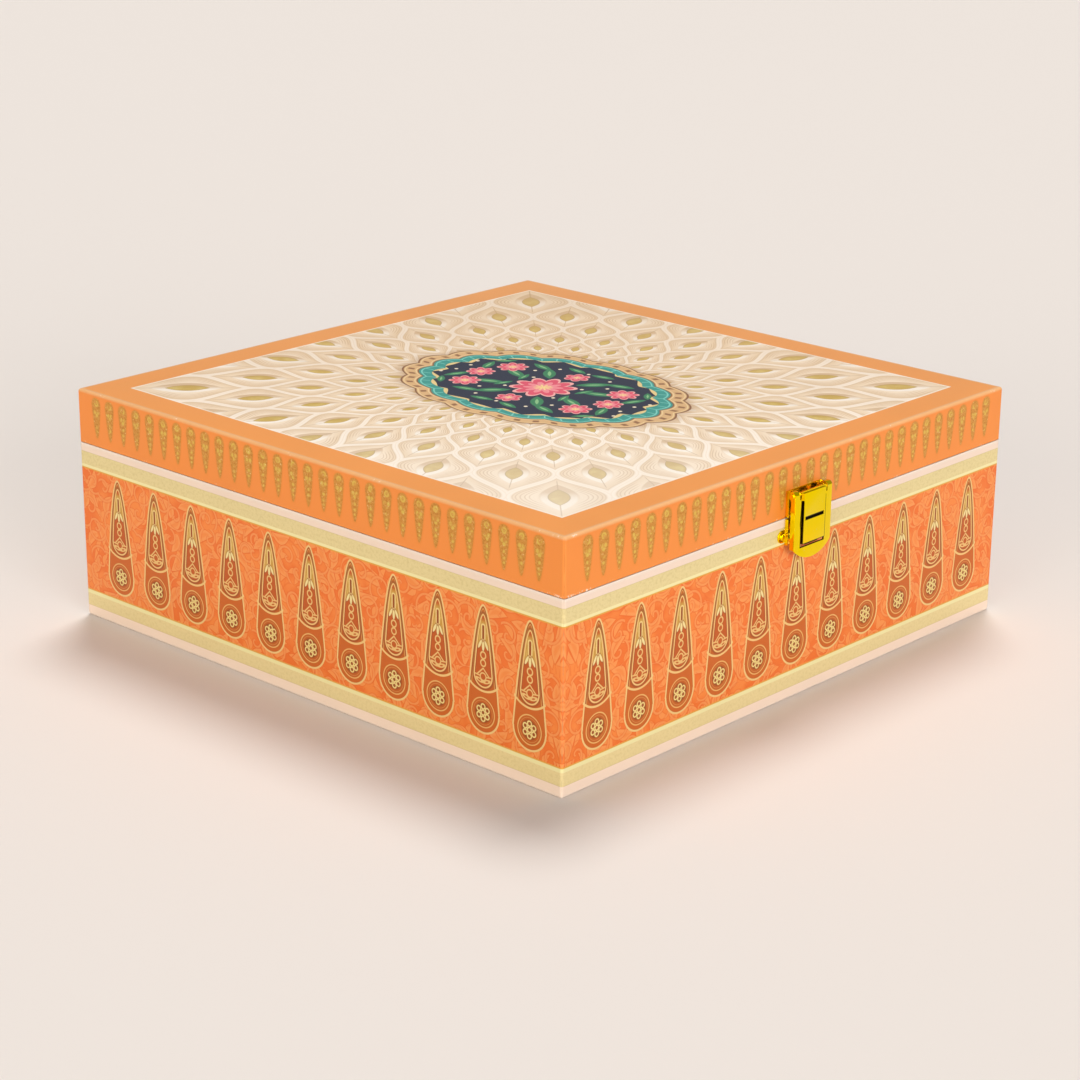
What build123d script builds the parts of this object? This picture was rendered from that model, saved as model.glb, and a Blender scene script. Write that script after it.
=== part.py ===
from build123d import *
import math
import os

os.makedirs("parts", exist_ok=True)

# Sizes in millimetres. The box stands on z = 0 with its centre on the Z axis.
# The latch is on the front wall, which faces -Y. The hinges are on the back wall.

# The closed box, outside
box_width = 279.4
box_depth = 279.4
box_height = 102.0
lid_height = 23.4
seam_gap = 0.3
edge_radius = 1.2

# Board, paper, and how far the paper is folded round each edge
board = 3.0
paper = 0.3
turn_in = 12.0
turn_under = 16.0
top_border = 15.8

# Card partition that stands on the floor and makes the cells
cells_each_way = 3
divider_card = 1.5
divider_height = 50.0
divider_end_gap = 0.4
half_lap_clearance = 0.1

# Stop hinges, two on the back wall
hinge_place = 75.0
hinge_leaf_width = 24.0
hinge_leaf_height = 14.0
hinge_leaf_sheet = 0.8
hinge_corner_radius = 2.0
knuckle_radius = 2.0
knuckle_wall_gap = 0.2
knuckle_end_gap = 0.2
end_knuckle_length = 6.0
leaf_swing_gap = 0.5
hinge_pin_radius = 0.8
pin_clearance = 0.05
pin_head_radius = 1.2
pin_head_height = 0.5
stop_lip_width = 5.0
stop_lip_reach = 5.0
stop_lip_inset = 1.3
lid_opening_angle = 105.0
stop_lip_gap = 0.15

# Nails with raised heads, whose shanks and heads have few sides
nail_sides = 8
nail_head_sides = 16
nail_radius = 0.6
nail_length = 3.2
nail_head_radius = 1.4
nail_head_height = 0.7
nail_head_bevel = 0.45
nail_hole_clearance = 0.02
hinge_nail_spread = 14.0
hinge_nail_height = 9.0

# Hasp latch: sheet-metal plates on the walls, and a flap that drops over both
latch_sheet = 0.6
plate_width = 21.8
plate_flange_depth = 1.6
plate_height = 11.2
plate_seam_gap = 0.4
ear_place = 8.3
ear_radius = 1.1
nail_tab_offset = 2.1
nail_tab_radius = 2.6
nail_tab_drop = 7.3
lid_plate_nail_spread = 10.0
lid_plate_nail_rise = 5.4
latch_pin_radius = 0.6
latch_pin_rise = 9.9
latch_pin_standoff = 3.6
latch_pin_head_radius = 1.1
latch_pin_head_height = 0.45
flap_width = 23.6
flap_above_pin = 1.2
flap_side_drop = 12.3
flap_tip_drop = 17.2
flap_standoff = 5.4
flap_flange_depth = 2.1
flap_knuckle_length = 2.9
ear_notch_gap = 0.2
ear_notch_depth = 1.8
raised_panel_width = 14.2
raised_panel_proud = 0.8
raised_panel_above_pin = 0.6
raised_panel_drop = 10.4
panel_slit_width = 0.5
panel_slit_below_pin = 2.5
middle_slot_width = 11.4
middle_slot_height = 1.1
catch_slot_height = 1.5
tongue_width = 8.0
tongue_below_slot_top = 0.45
tongue_short_of_face = 0.3

# What lets a cut run clear through
overrun = 1.0

# Levels and planes that follow from these
seam_z = box_height - lid_height
base_top = seam_z - seam_gap / 2
lid_bottom = seam_z + seam_gap / 2
floor_top = paper + board
floor_lining_top = floor_top + paper
lid_board_under = box_height - paper - board
lid_lining_under = lid_board_under - paper
front_y = -box_depth / 2
back_y = box_depth / 2
shell = paper + board
inner_width = box_width - 2 * (shell + paper)
inner_depth = box_depth - 2 * (shell + paper)
hinge_y = back_y + knuckle_wall_gap + knuckle_radius
latch_pin_y = front_y - latch_pin_standoff
latch_pin_z = seam_z + latch_pin_rise
flap_top_z = latch_pin_z + flap_above_pin
slot_top_z = seam_z - raised_panel_drop


def block(x_low, x_high, y_low, y_high, z_low, z_high):
    """A square-edged block between two corners."""
    size = Box(x_high - x_low, y_high - y_low, z_high - z_low)
    return Pos((x_low + x_high) / 2, (y_low + y_high) / 2, (z_low + z_high) / 2) * size


def centred_block(width, depth, z_low, z_high):
    return block(-width / 2, width / 2, -depth / 2, depth / 2, z_low, z_high)


def rounded_block(inset, z_low, z_high, rounded_end):
    """The outside form of the base or lid, drawn in by inset, with its upright edges
    and one end rounded. rounded_end is 0 for the bottom and -1 for the top."""
    form = centred_block(box_width - 2 * inset, box_depth - 2 * inset, z_low, z_high)
    edges = form.edges().filter_by(Axis.Z) + form.faces().sort_by(Axis.Z)[rounded_end].edges()
    return fillet(edges, edge_radius - inset)


def rod_x(radius, x_low, x_high, y, z):
    """A round rod along X."""
    return Pos((x_low + x_high) / 2, y, z) * Rot(0, 90, 0) * Cylinder(radius, x_high - x_low)


def rod_y(radius, x, y_low, y_high, z):
    """A round rod along Y."""
    return Pos(x, (y_low + y_high) / 2, z) * Rot(90, 0, 0) * Cylinder(radius, y_high - y_low)


def group(pieces):
    """Separate solids that share one node."""
    return Compound(children=[piece if isinstance(piece, Solid) else piece.solid() for piece in pieces])


def save(name, shape):
    export_step(shape, os.path.join("parts", name + ".step"))


def prism(radius, sides, z_low, z_high):
    """A rod along Z with flat sides that touch a circle of this radius."""
    return Pos(0, 0, z_low) * extrude(RegularPolygon(radius, sides, major_radius=False), z_high - z_low)


def driven(x, face_y, z, outward):
    """Where a nail goes: its own Z points out of a wall whose face is at face_y. outward
    is 1 on the back wall and -1 on the front wall."""
    return Pos(x, face_y, z) * Rot(-90 * outward, 0, 0)


def nail(*spot):
    head = prism(nail_head_radius, nail_head_sides, 0, nail_head_height)
    head = chamfer(head.faces().sort_by(Axis.Z)[-1].edges(), nail_head_bevel)
    return driven(*spot) * (head + prism(nail_radius, nail_sides, -nail_length, 0))


def nail_hole(*spot):
    """What a nail's shank takes out of the sheet, paper and board that it goes through."""
    return driven(*spot) * prism(nail_radius + nail_hole_clearance, nail_sides, -nail_length, overrun)


def mitred(sleeve, z_low, z_high):
    """A paper sleeve cut at its four corners into the sheet of each wall."""
    reach = turn_under + top_border
    near_x, near_y = box_width / 2 + overrun, box_depth / 2 + overrun
    far_x, far_y = near_x - reach, near_y - reach
    outlines = {
        "front": [(-near_x, -near_y), (near_x, -near_y), (far_x, -far_y), (-far_x, -far_y)],
        "back": [(near_x, near_y), (-near_x, near_y), (-far_x, far_y), (far_x, far_y)],
        "left": [(-near_x, near_y), (-near_x, -near_y), (-far_x, -far_y), (-far_x, far_y)],
        "right": [(near_x, -near_y), (near_x, near_y), (far_x, far_y), (far_x, -far_y)],
    }
    sheets = {}
    for side, outline in outlines.items():
        wedge = Pos(0, 0, z_low) * extrude(make_face(Polyline(*outline, close=True)), z_high - z_low)
        sheets[side] = sleeve & wedge
    return sheets


def ring(width, depth, thickness, z_low, z_high):
    """A square sleeve that lines a hollow of this width and depth."""
    outside = centred_block(width, depth, z_low, z_high)
    return outside - centred_block(width - 2 * thickness, depth - 2 * thickness, z_low, z_high)


# Boards. The front and back walls run the full width, and the side walls fit between them.
def wall_boards(form, z_low, z_high):
    half_x, half_y = box_width / 2, box_depth / 2
    return {
        "front": form & block(-half_x, half_x, -half_y, -half_y + shell, z_low, z_high),
        "back": form & block(-half_x, half_x, half_y - shell, half_y, z_low, z_high),
        "left": form & block(-half_x, -half_x + shell, -half_y + shell, half_y - shell, z_low, z_high),
        "right": form & block(half_x - shell, half_x, -half_y + shell, half_y - shell, z_low, z_high),
    }


base_form = rounded_block(paper, paper, base_top - paper, 0)
base_walls = wall_boards(base_form, 0, base_top)
base_floor = centred_block(box_width - 2 * shell, box_depth - 2 * shell, paper, floor_top)

lid_form = rounded_block(paper, lid_bottom + paper, box_height - paper, -1)
lid_walls = wall_boards(lid_form, lid_bottom, lid_board_under)
lid_top = lid_form & centred_block(box_width, box_depth, lid_board_under, box_height)


# Printed paper. Each sheet covers a wall, folds over the rim and down inside, and
# folds under the floor or over the edge of the lid's top.
def base_paper():
    skin = rounded_block(0, 0, base_top, 0) - base_form
    mouth = centred_block(box_width - 2 * shell, box_depth - 2 * shell, floor_top, base_top + overrun)
    opening = centred_block(box_width - 2 * turn_under, box_depth - 2 * turn_under, -overrun, paper)
    fold = ring(box_width - 2 * shell, box_depth - 2 * shell, paper, base_top - turn_in, base_top)
    return mitred(skin - mouth - opening + fold, -overrun, base_top + overrun)


def lid_paper():
    skin = rounded_block(0, lid_bottom, box_height, -1) - lid_form
    mouth = centred_block(
        box_width - 2 * shell, box_depth - 2 * shell, lid_bottom - overrun, lid_board_under
    )
    opening = centred_block(
        box_width - 2 * top_border, box_depth - 2 * top_border, box_height - paper, box_height + overrun
    )
    fold = ring(box_width - 2 * shell, box_depth - 2 * shell, paper, lid_bottom, lid_bottom + turn_in)
    return mitred(skin - mouth - opening + fold, lid_bottom - overrun, box_height + overrun)


base_sheets = base_paper()
lid_sheets = lid_paper()
base_under_sheet = centred_block(box_width - 2 * turn_under, box_depth - 2 * turn_under, 0, paper)
lid_top_sheet = centred_block(
    box_width - 2 * top_border, box_depth - 2 * top_border, box_height - paper, box_height
)

# Plain paper linings inside
base_wall_lining = ring(
    box_width - 2 * shell, box_depth - 2 * shell, paper, floor_lining_top, base_top - turn_in
)
base_floor_lining = centred_block(
    box_width - 2 * shell, box_depth - 2 * shell, floor_top, floor_lining_top
)
lid_wall_lining = ring(
    box_width - 2 * shell, box_depth - 2 * shell, paper, lid_bottom + turn_in, lid_lining_under
)
lid_top_lining = centred_block(
    box_width - 2 * shell, box_depth - 2 * shell, lid_lining_under, lid_board_under
)


# Partition. The strips along X are slotted from above and those along Y from below.
def divider_places(span):
    return [span * (index / cells_each_way - 0.5) for index in range(1, cells_each_way)]


def divider_strip(length, crossings, slots_from_top):
    low, high = floor_lining_top, floor_lining_top + divider_height
    middle = (low + high) / 2
    strip = block(-length / 2, length / 2, -divider_card / 2, divider_card / 2, low, high)
    half_slot = divider_card / 2 + half_lap_clearance
    for place in crossings:
        if slots_from_top:
            ends = (middle - half_lap_clearance, high + overrun)
        else:
            ends = (low - overrun, middle + half_lap_clearance)
        strip -= block(place - half_slot, place + half_slot, -divider_card, divider_card, *ends)
    return strip


cross_places = divider_places(inner_width)
long_places = divider_places(inner_depth)
long_strip = divider_strip(inner_width - 2 * divider_end_gap, cross_places, True)
cross_strip = divider_strip(inner_depth - 2 * divider_end_gap, long_places, False)
for number, place in enumerate(long_places, 1):
    save(f"divider_lengthwise_{number}", Pos(0, place, 0) * long_strip)
for number, place in enumerate(cross_places, 1):
    save(f"divider_crosswise_{number}", Pos(place, 0, 0) * Rot(0, 0, 90) * cross_strip)


# Hinges. The base leaf has the two end knuckles and the lid leaf has the middle one.
leaf_edge = knuckle_radius + leaf_swing_gap
middle_low = end_knuckle_length + knuckle_end_gap
middle_length = hinge_leaf_width - 2 * middle_low
hinge_places = {"left": -hinge_place, "right": hinge_place}
leaf_face_y = back_y + hinge_leaf_sheet


def hinge_nail_spots(centre, side):
    """Where a leaf's two nails go. side is 1 for the lid and -1 for the base."""
    return [
        (centre + shift, leaf_face_y, seam_z + side * hinge_nail_height)
        for shift in (-hinge_nail_spread / 2, hinge_nail_spread / 2)
    ]


def hinge_leaf(centre, side):
    low, high = sorted([seam_z + side * leaf_edge, seam_z + side * hinge_leaf_height])
    half = hinge_leaf_width / 2
    leaf = block(centre - half, centre + half, back_y, leaf_face_y, low, high)
    outer = leaf.edges().filter_by(Axis.Y).sort_by(Axis.Z)
    leaf = fillet(outer[-2:] if side > 0 else outer[:2], hinge_corner_radius)
    if side > 0:
        spans = [(middle_low, middle_low + middle_length)]
    else:
        spans = [(0, end_knuckle_length), (hinge_leaf_width - end_knuckle_length, hinge_leaf_width)]
    for start, end in spans:
        x_low, x_high = centre - half + start, centre - half + end
        web = sorted([seam_z, seam_z + side * (leaf_edge + hinge_leaf_sheet)])
        leaf += rod_x(knuckle_radius, x_low, x_high, hinge_y, seam_z)
        leaf += block(x_low, x_high, back_y, leaf_face_y, *web)
    if side > 0:
        leaf += stop_lip(centre)
    leaf -= rod_x(
        hinge_pin_radius + pin_clearance, centre - half - overrun, centre + half + overrun, hinge_y, seam_z
    )
    for spot in hinge_nail_spots(centre, side):
        leaf -= nail_hole(*spot, 1)
    return leaf


def stop_lip(centre):
    """The lip on the middle knuckle that lands on the base leaf when the lid is fully open."""
    room = hinge_y - leaf_face_y - hinge_leaf_sheet / 2 - stop_lip_gap
    past_down = math.degrees(math.asin(room / stop_lip_reach))
    closed_angle = 180 + past_down - lid_opening_angle
    half = stop_lip_width / 2
    half_sheet = hinge_leaf_sheet / 2
    lip = block(-half, half, -half_sheet, half_sheet, stop_lip_inset, stop_lip_reach)
    return Pos(centre, hinge_y, seam_z) * Rot(-closed_angle, 0, 0) * lip


def hinge_pin(centre):
    half = hinge_leaf_width / 2
    pin = rod_x(hinge_pin_radius, centre - half, centre + half, hinge_y, seam_z)
    for end in (-1, 1):
        ends = sorted([centre + end * half, centre + end * (half + pin_head_height)])
        pin += rod_x(pin_head_radius, *ends, hinge_y, seam_z)
    return pin


base_hinge_spots = []
lid_hinge_spots = []
for name, centre in hinge_places.items():
    save(f"hinge_base_leaf_{name}", hinge_leaf(centre, -1))
    save(f"hinge_lid_leaf_{name}", hinge_leaf(centre, 1))
    save(f"hinge_pin_{name}", hinge_pin(centre))
    base_hinge_spots += hinge_nail_spots(centre, -1)
    lid_hinge_spots += hinge_nail_spots(centre, 1)


# Latch. Each plate is a shallow channel on its wall. The lid's has two ears for the pin,
# and the base's has a tab for a nail at each side and the tongue that the flap drops over.
plate_face_y = front_y - latch_sheet
flap_face_y = front_y - flap_standoff
panel_face_y = flap_face_y - raised_panel_proud
flap_inner_y = flap_face_y + latch_sheet
flap_knuckle_radius = flap_standoff - latch_pin_standoff
tongue_top_z = slot_top_z - tongue_below_slot_top
nail_tab_x = plate_width / 2 + nail_tab_offset
nail_tab_z = seam_z - nail_tab_drop


def channel_plate(z_low, z_high):
    half = plate_width / 2
    plate = block(-half, half, plate_face_y, front_y, z_low, z_high)
    for side in (-1, 1):
        ends = sorted([side * half, side * (half - latch_sheet)])
        plate += block(*ends, front_y - plate_flange_depth, front_y, z_low, z_high)
    return plate


def latch_lid_plate():
    plate = channel_plate(seam_z + plate_seam_gap, seam_z + plate_height)
    for side in (-1, 1):
        ends = (side * ear_place - latch_sheet / 2, side * ear_place + latch_sheet / 2)
        plate += rod_x(ear_radius, *ends, latch_pin_y, latch_pin_z)
        plate += block(
            *ends, latch_pin_y, front_y, latch_pin_z - ear_radius, latch_pin_z + ear_radius
        )
    plate -= rod_x(
        latch_pin_radius + pin_clearance, -plate_width, plate_width, latch_pin_y, latch_pin_z
    )
    for spot in lid_plate_spots:
        plate -= nail_hole(*spot, -1)
    return plate


def latch_catch_plate():
    plate = channel_plate(seam_z - plate_height, seam_z - plate_seam_gap)
    for side in (-1, 1):
        plate += rod_y(nail_tab_radius, side * nail_tab_x, plate_face_y, front_y, nail_tab_z)
        ends = sorted([side * nail_tab_x, side * (plate_width / 2 - latch_sheet)])
        plate += block(
            *ends, plate_face_y, front_y, nail_tab_z - nail_tab_radius, nail_tab_z + nail_tab_radius
        )
    half = tongue_width / 2
    tongue_tip_y = flap_face_y + tongue_short_of_face
    plate += block(-half, half, tongue_tip_y, front_y, tongue_top_z - latch_sheet, tongue_top_z)
    plate += block(
        -half, half, plate_face_y, front_y, tongue_top_z - latch_sheet, seam_z - plate_seam_gap
    )
    for spot in catch_plate_spots:
        plate -= nail_hole(*spot, -1)
    return plate


def flap_plate():
    """The flap's sheet before folding: straight sides and a shallow rounded tip."""
    half = flap_width / 2
    side_end, tip = seam_z - flap_side_drop, seam_z - flap_tip_drop
    sides = Polyline((-half, side_end), (-half, flap_top_z), (half, flap_top_z), (half, side_end))
    rounded_tip = ThreePointArc((half, side_end), (0, tip), (-half, side_end))
    outline = make_face(sides + rounded_tip)
    return Pos(0, flap_inner_y, 0) * Rot(90, 0, 0) * extrude(outline, latch_sheet)


def latch_flap():
    half = flap_width / 2
    flap = flap_plate()
    for side in (-1, 1):
        fold = sorted([side * half, side * (half - latch_sheet)])
        flap += block(
            *fold, flap_face_y, flap_face_y + flap_flange_depth, seam_z - flap_side_drop, latch_pin_z
        )
        knuckle = sorted([side * half, side * (half - flap_knuckle_length)])
        flap -= block(*knuckle, flap_face_y, flap_inner_y, latch_pin_z, flap_top_z)
        flap += rod_x(flap_knuckle_radius, *knuckle, latch_pin_y, latch_pin_z)
        notch_reach = latch_sheet / 2 + ear_notch_gap
        flap -= block(
            side * ear_place - notch_reach, side * ear_place + notch_reach,
            flap_face_y - overrun, front_y, latch_pin_z - ear_notch_depth, flap_top_z + overrun,
        )
    panel_half = raised_panel_width / 2
    panel_top = latch_pin_z + raised_panel_above_pin
    flap += block(-panel_half, panel_half, panel_face_y, flap_face_y, slot_top_z, panel_top)
    hollow = panel_half - latch_sheet
    flap -= block(
        -hollow, hollow, panel_face_y + latch_sheet, flap_inner_y, slot_top_z, panel_top - latch_sheet
    )
    flap -= block(
        -panel_half, panel_half, panel_face_y - overrun, flap_inner_y,
        slot_top_z - catch_slot_height, slot_top_z,
    )
    for side in (-1, 1):
        slit = sorted([side * panel_half, side * (panel_half + panel_slit_width)])
        flap -= block(
            *slit, flap_face_y - overrun, flap_inner_y,
            slot_top_z - catch_slot_height, latch_pin_z - panel_slit_below_pin,
        )
    slot_half, slot_tall = middle_slot_width / 2, middle_slot_height / 2
    flap -= block(
        -slot_half, slot_half, panel_face_y - overrun, flap_face_y,
        seam_z - slot_tall, seam_z + slot_tall,
    )
    flap -= rod_x(
        latch_pin_radius + pin_clearance, -flap_width, flap_width, latch_pin_y, latch_pin_z
    )
    return flap


def latch_pin():
    half = flap_width / 2
    pin = rod_x(latch_pin_radius, -half, half, latch_pin_y, latch_pin_z)
    for end in (-1, 1):
        ends = sorted([end * half, end * (half + latch_pin_head_height)])
        pin += rod_x(latch_pin_head_radius, *ends, latch_pin_y, latch_pin_z)
    return pin


lid_plate_spots = [
    (shift, plate_face_y, seam_z + lid_plate_nail_rise)
    for shift in (-lid_plate_nail_spread / 2, lid_plate_nail_spread / 2)
]
catch_plate_spots = [(side * nail_tab_x, plate_face_y, nail_tab_z) for side in (-1, 1)]

save("latch_lid_plate", latch_lid_plate())
save("latch_catch_plate", latch_catch_plate())
save("latch_flap", latch_flap())
save("latch_pin", latch_pin())
save("latch_lid_nails", group([nail(*spot, -1) for spot in lid_plate_spots]))
save("latch_catch_nails", group([nail(*spot, -1) for spot in catch_plate_spots]))
save("hinge_base_nails", group([nail(*spot, 1) for spot in base_hinge_spots]))
save("hinge_lid_nails", group([nail(*spot, 1) for spot in lid_hinge_spots]))

# The nails go through the paper and into the boards of the front and back walls.
base_holes = {
    "front": [nail_hole(*spot, -1) for spot in catch_plate_spots],
    "back": [nail_hole(*spot, 1) for spot in base_hinge_spots],
}
lid_holes = {
    "front": [nail_hole(*spot, -1) for spot in lid_plate_spots],
    "back": [nail_hole(*spot, 1) for spot in lid_hinge_spots],
}


def pierced(shape, holes):
    for hole in holes:
        shape = shape - hole
    return shape


for side in ("front", "back", "left", "right"):
    save(f"base_{side}_board", pierced(base_walls[side], base_holes.get(side, [])))
    save(f"base_{side}_paper", pierced(base_sheets[side], base_holes.get(side, [])))
    save(f"lid_{side}_board", pierced(lid_walls[side], lid_holes.get(side, [])))
    save(f"lid_{side}_paper", pierced(lid_sheets[side], lid_holes.get(side, [])))

save("base_floor_board", base_floor)
save("base_under_sheet", base_under_sheet)
save("base_wall_lining", base_wall_lining)
save("base_floor_lining", base_floor_lining)
save("lid_top_board", lid_top)
save("lid_top_sheet", lid_top_sheet)
save("lid_wall_lining", lid_wall_lining)
save("lid_top_lining", lid_top_lining)
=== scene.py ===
import math

import bmesh
import bpy
from mathutils import Matrix, Quaternion, Vector


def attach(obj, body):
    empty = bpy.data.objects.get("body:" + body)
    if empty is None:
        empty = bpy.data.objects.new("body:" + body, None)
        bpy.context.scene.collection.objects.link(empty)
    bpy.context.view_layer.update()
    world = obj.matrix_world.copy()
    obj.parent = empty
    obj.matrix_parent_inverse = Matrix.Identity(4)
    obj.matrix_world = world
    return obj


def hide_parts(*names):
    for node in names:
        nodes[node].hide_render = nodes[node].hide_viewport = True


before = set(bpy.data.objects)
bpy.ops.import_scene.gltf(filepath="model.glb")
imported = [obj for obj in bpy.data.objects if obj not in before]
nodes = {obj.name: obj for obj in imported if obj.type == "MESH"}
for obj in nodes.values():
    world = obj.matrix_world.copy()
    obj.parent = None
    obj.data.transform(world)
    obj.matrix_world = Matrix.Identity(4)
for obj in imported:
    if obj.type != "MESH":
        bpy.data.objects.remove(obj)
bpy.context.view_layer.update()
mm = 0.001


# The stage. The closed box stands on a wide pale table in even studio light, and a long
# lens looks down on its left front corner. One light is overhead, a little behind the
# box, and two soft ones stand by the camera. Beyond the table all is the same pale tone.
camera_target = Vector((-38.6, -34.5, 51.0)) * mm
camera_azimuth, camera_elevation, camera_roll = -47.35, 19.0, 0.55
camera_distance = 1098.6 * mm
camera_lens, sensor_width = 88.42, 36.0
table_reach = 7.0
table_colour = (0.79, 0.72, 0.668)
surrounding_light = 0.32
seen_beyond_table = (0.86, 0.78, 0.72)
warm_white = (1.0, 0.95, 0.83)


def plain_material(name, colour, roughness):
    """A new material, its node tree and its Principled shader."""
    material = bpy.data.materials.new(name)
    material.use_nodes = True
    shader = material.node_tree.nodes["Principled BSDF"]
    shader.inputs["Base Color"].default_value = (*colour, 1)
    shader.inputs["Roughness"].default_value = roughness
    return material, material.node_tree, shader


def settle(bm, name, material):
    """The bmesh as an object of the scene, at the origin."""
    mesh = bpy.data.meshes.new(name)
    bm.to_mesh(mesh)
    bm.free()
    mesh.materials.append(material)
    piece = bpy.data.objects.new(name, mesh)
    bpy.context.scene.collection.objects.link(piece)
    return piece


def studio_light(name, direction, strength, softness, colour=(1, 1, 1)):
    """A far, soft light. Its strength is what it adds to a surface that faces it."""
    light = bpy.data.objects.new(name, bpy.data.lights.new(name, "SUN"))
    light.data.energy = strength * math.pi
    light.data.angle = math.radians(softness)
    light.data.color = colour
    light.rotation_mode = "QUATERNION"
    light.rotation_quaternion = Vector(direction).to_track_quat("-Z", "Y")
    bpy.context.scene.collection.objects.link(light)


table_paper, _, _ = plain_material("table_paper", table_colour, 0.9)
bm = bmesh.new()
bmesh.ops.create_grid(bm, x_segments=2, y_segments=2, size=table_reach)
settle(bm, "table", table_paper)

elevation = math.radians(camera_elevation)
azimuth = math.radians(camera_azimuth)
towards_camera = Vector((
    math.sin(azimuth) * math.cos(elevation),
    -math.cos(azimuth) * math.cos(elevation),
    math.sin(elevation),
))
roll = Quaternion((0, 0, 1), math.radians(camera_roll))
camera = bpy.data.objects.new("camera", bpy.data.cameras.new("camera"))
camera.data.lens = camera_lens
camera.data.sensor_width = sensor_width
camera.data.clip_end = 50
camera.location = camera_target + towards_camera * camera_distance
camera.rotation_mode = "QUATERNION"
camera.rotation_quaternion = (-towards_camera).to_track_quat("-Z", "Y") @ roll
bpy.context.scene.collection.objects.link(camera)
bpy.context.scene.camera = camera
bpy.context.scene.view_settings.view_transform = "Standard"

world = bpy.data.worlds.new("studio")
world.use_nodes = True
surroundings = world.node_tree.nodes["Background"]
surroundings.inputs["Strength"].default_value = surrounding_light
ray = world.node_tree.nodes.new("ShaderNodeLightPath")
tone = world.node_tree.nodes.new("ShaderNodeMix")
tone.data_type = "RGBA"
tone.inputs["A"].default_value = (1, 1, 1, 1)
tone.inputs["B"].default_value = (*[part / surrounding_light for part in seen_beyond_table], 1)
world.node_tree.links.new(ray.outputs["Is Camera Ray"], tone.inputs["Factor"])
world.node_tree.links.new(tone.outputs["Result"], surroundings.inputs["Color"])
bpy.context.scene.world = world
studio_light("overhead_light", (-0.42, -0.26, -1.0), strength=0.60, softness=22)
studio_light("front_light", (0.30, 1.0, -0.08), strength=1.05, softness=45)
studio_light("left_light", (1.0, 0.15, -0.08), strength=0.68, softness=45, colour=warm_white)


# Boards. The walls, floor and top are solid grey board, cut square and glued at the
# corners. Paper covers nearly all of it, so it shows only where a sheet ends.
class Varying:
    """A number that changes over a surface. Sums on it become Math nodes."""

    def __init__(self, tree, socket):
        self.tree = tree
        self.socket = socket

    def worked(self, operation, *values, clamp=False):
        node = self.tree.nodes.new("ShaderNodeMath")
        node.operation = operation
        node.use_clamp = clamp
        for entry, value in zip(node.inputs, values):
            if isinstance(value, Varying):
                self.tree.links.new(value.socket, entry)
            else:
                entry.default_value = value
        return Varying(self.tree, node.outputs[0])

    def __add__(self, other):
        return self.worked("ADD", self, other)

    def __sub__(self, other):
        return self.worked("SUBTRACT", self, other)

    def __rsub__(self, other):
        return self.worked("SUBTRACT", other, self)

    def __mul__(self, other):
        return self.worked("MULTIPLY", self, other)

    def __truediv__(self, other):
        return self.worked("DIVIDE", self, other)

    def __abs__(self):
        return self.worked("ABSOLUTE", self)

    def root(self):
        return self.worked("SQRT", self)

    def cosine(self):
        return self.worked("COSINE", self)

    def sine(self):
        return self.worked("SINE", self)

    def least(self, other):
        return self.worked("MINIMUM", self, other)

    def most(self, other):
        return self.worked("MAXIMUM", self, other)

    def above(self, limit):
        return self.worked("GREATER_THAN", self, limit)

    def rounded(self):
        return self.worked("ROUND", self)

    def kept_between(self, low, high):
        return self.most(low).least(high)

    def or_where(self, mask, other):
        """This value, and other where the mask is 1."""
        return self + (other - self) * mask


def reach(x, y):
    """The distance of the point x, y from zero."""
    return (x * x + y * y).root()


def turn(x, y):
    """The angle of the point x, y, from the direction of x, in radians."""
    return y.worked("ARCTAN2", y, x)


def shape(depth, soft=0.14):
    """1 where the depth inside an outline is above zero, with a soft edge in mm."""
    return depth.worked("ADD", depth * (1 / soft), 0.5, clamp=True)


def band(value, low, high, soft=0.14):
    """1 where the value is between low and high."""
    return shape((high - low) / 2 - abs(value - (high + low) / 2), soft)


def rise(value, low, high):
    """Grows from 0 at low to 1 at high."""
    return value.worked("ADD", value * (1 / (high - low)), -low / (high - low), clamp=True)


def ink(code):
    """The colour of an ink or paper from its six-figure code, as the light it returns."""
    parts = [int(code[i:i + 2], 16) / 255 for i in (0, 2, 4)]
    return tuple(p / 12.92 if p <= 0.04045 else ((p + 0.055) / 1.055) ** 2.4 for p in parts)


class Inks:
    """Inks laid one over another on a sheet, each where its mask is 1."""

    def __init__(self, tree, colour):
        self.tree = tree
        self.colour = colour

    def lay(self, colour, mask, strength=1.0):
        node = self.tree.nodes.new("ShaderNodeMix")
        node.data_type = "RGBA"
        if strength != 1.0:
            mask = mask * strength
        self.tree.links.new(mask.socket, node.inputs["Factor"])
        for entry, value in ((node.inputs["A"], self.colour), (node.inputs["B"], colour)):
            if isinstance(value, bpy.types.NodeSocket):
                self.tree.links.new(value, entry)
            else:
                entry.default_value = (*value, 1)
        self.colour = node.outputs["Result"]
        return self


def placed(tree):
    """x, y and z on the part, in millimetres."""
    place = tree.nodes.new("ShaderNodeTexCoord")
    parts = tree.nodes.new("ShaderNodeSeparateXYZ")
    tree.links.new(place.outputs["Object"], parts.inputs[0])
    return [Varying(tree, parts.outputs[i]) * 1000.0 for i in range(3)]


def point(x, y, z=0.0):
    """Three values as one point, for a noise to read."""
    tree = next(v for v in (x, y, z) if isinstance(v, Varying)).tree
    node = tree.nodes.new("ShaderNodeCombineXYZ")
    for entry, value in zip(node.inputs, (x, y, z)):
        if isinstance(value, Varying):
            tree.links.new(value.socket, entry)
        else:
            entry.default_value = value
    return node.outputs[0]


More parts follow.
